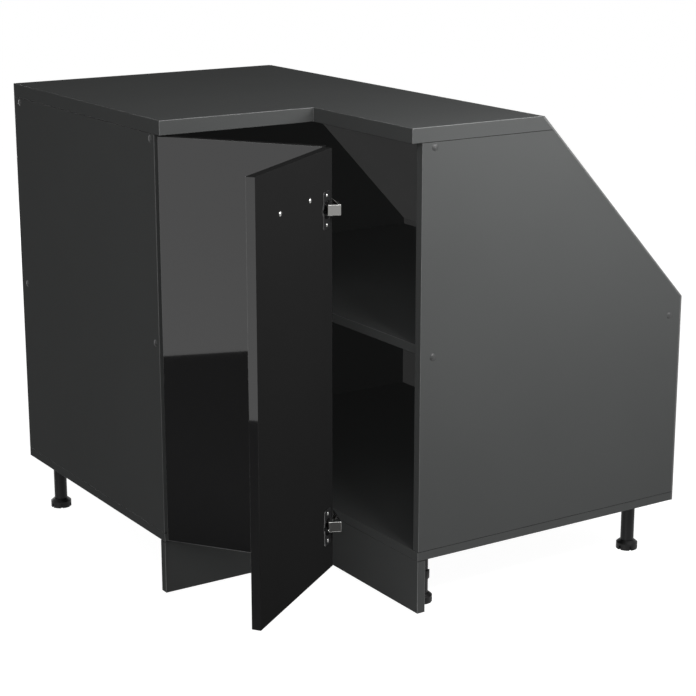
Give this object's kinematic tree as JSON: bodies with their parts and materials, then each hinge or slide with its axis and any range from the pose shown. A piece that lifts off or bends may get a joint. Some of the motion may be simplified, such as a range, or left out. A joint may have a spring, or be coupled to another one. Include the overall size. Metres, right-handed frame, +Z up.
{
  "type": "corner kitchen cabinet",
  "caption": "Corner base cabinet on adjustable legs, with an L-shaped worktop, a shelf, a sloped rear corner and a folding gloss door.",
  "frame": {"origin": "the room corner on the floor, where the planes of the rear face, the side wall face and the floor meet", "axes": "+Z up, +Y into the rear wall, +X into the side wall; the cabinet lies on the -X, -Y side"},
  "size_m": [0.97, 1.0187, 0.845],
  "materials": {
    "board": "matt anthracite melamine on chipboard",
    "worktop": "matt anthracite laminate on chipboard",
    "back_sheet": "matt dark hardboard",
    "leaf": "high-gloss black lacquer on fibreboard",
    "dome_screw": "dark painted dome heads",
    "black_plastic": "moulded black plastic",
    "zinc": "bright zinc-plated steel",
    "nickel": "nickel-plated pressed steel",
    "cup": "black-plated pressed steel",
    "handle": "satin black metal"
  },
  "bodies": {
    "carcass": {"left_side_panel": "board", "right_side_panel": "board", "rear_panel": "board", "base_board": "board", "shelf": "board", "left_plinth": "board", "right_plinth": "board", "worktop": "worktop", "lower_back_sheet": "back_sheet", "sloped_back_sheet": "back_sheet", "shelf_screws": "dome_screw", "worktop_screws": "dome_screw", "worktop_blocks": "black_plastic", "plinth_clips": "black_plastic", "leg_flanges": "black_plastic", "leg_tubes": "black_plastic", "back_sheet_nails": "zinc", "shelf_pegs": "zinc", "worktop_block_screws": "zinc", "base_screws": "zinc", "plinth_clip_screws": "zinc", "leg_flange_screws": "zinc", "plinth_angle": "zinc", "hinge_plate_screws": "zinc", "hinge_plates": "nickel", "hinge_arms": "nickel"},
    "left_door": {"left_leaf": "leaf", "hinge_cups": "cup", "hinge_pins": "zinc", "hinge_cup_screws": "zinc", "fold_plates": "nickel", "fold_plate_screws": "zinc", "fold_arms": "nickel"},
    "right_door": {"right_leaf": "leaf", "fold_cups": "cup", "fold_pins": "zinc", "fold_cup_screws": "zinc", "handle_bar": "handle", "handle_screws": "zinc"},
    "foot_1": {"foot_1": "black_plastic"},
    "foot_2": {"foot_2": "black_plastic"},
    "foot_3": {"foot_3": "black_plastic"},
    "foot_4": {"foot_4": "black_plastic"},
    "foot_5": {"foot_5": "black_plastic"},
    "foot_6": {"foot_6": "black_plastic"}
  },
  "joints": [
    {"name": "door_swing", "type": "hinge", "parent": "carcass", "child": "left_door", "pos_m": [-0.8905, -0.5935, 0.462], "axis": [0, 0, -1], "range_deg": [-54.7, 40.3]},
    {"name": "door_fold", "type": "hinge", "parent": "left_door", "child": "right_door", "pos_m": [-0.73112, -0.84456, 0.462], "axis": [0, 0, -1], "range_deg": [0, 55]},
    {"name": "foot_1_height", "type": "slide", "parent": "carcass", "child": "foot_1", "axis": [0, 0, -1], "range_m": [0, 0.02]},
    {"name": "foot_2_height", "type": "slide", "parent": "carcass", "child": "foot_2", "axis": [0, 0, -1], "range_m": [0, 0.02]},
    {"name": "foot_3_height", "type": "slide", "parent": "carcass", "child": "foot_3", "axis": [0, 0, -1], "range_m": [0, 0.02]},
    {"name": "foot_4_height", "type": "slide", "parent": "carcass", "child": "foot_4", "axis": [0, 0, -1], "range_m": [0, 0.02]},
    {"name": "foot_5_height", "type": "slide", "parent": "carcass", "child": "foot_5", "axis": [0, 0, -1], "range_m": [0, 0.02]},
    {"name": "foot_6_height", "type": "slide", "parent": "carcass", "child": "foot_6", "axis": [0, 0, -1], "range_m": [0, 0.02]}
  ]
}
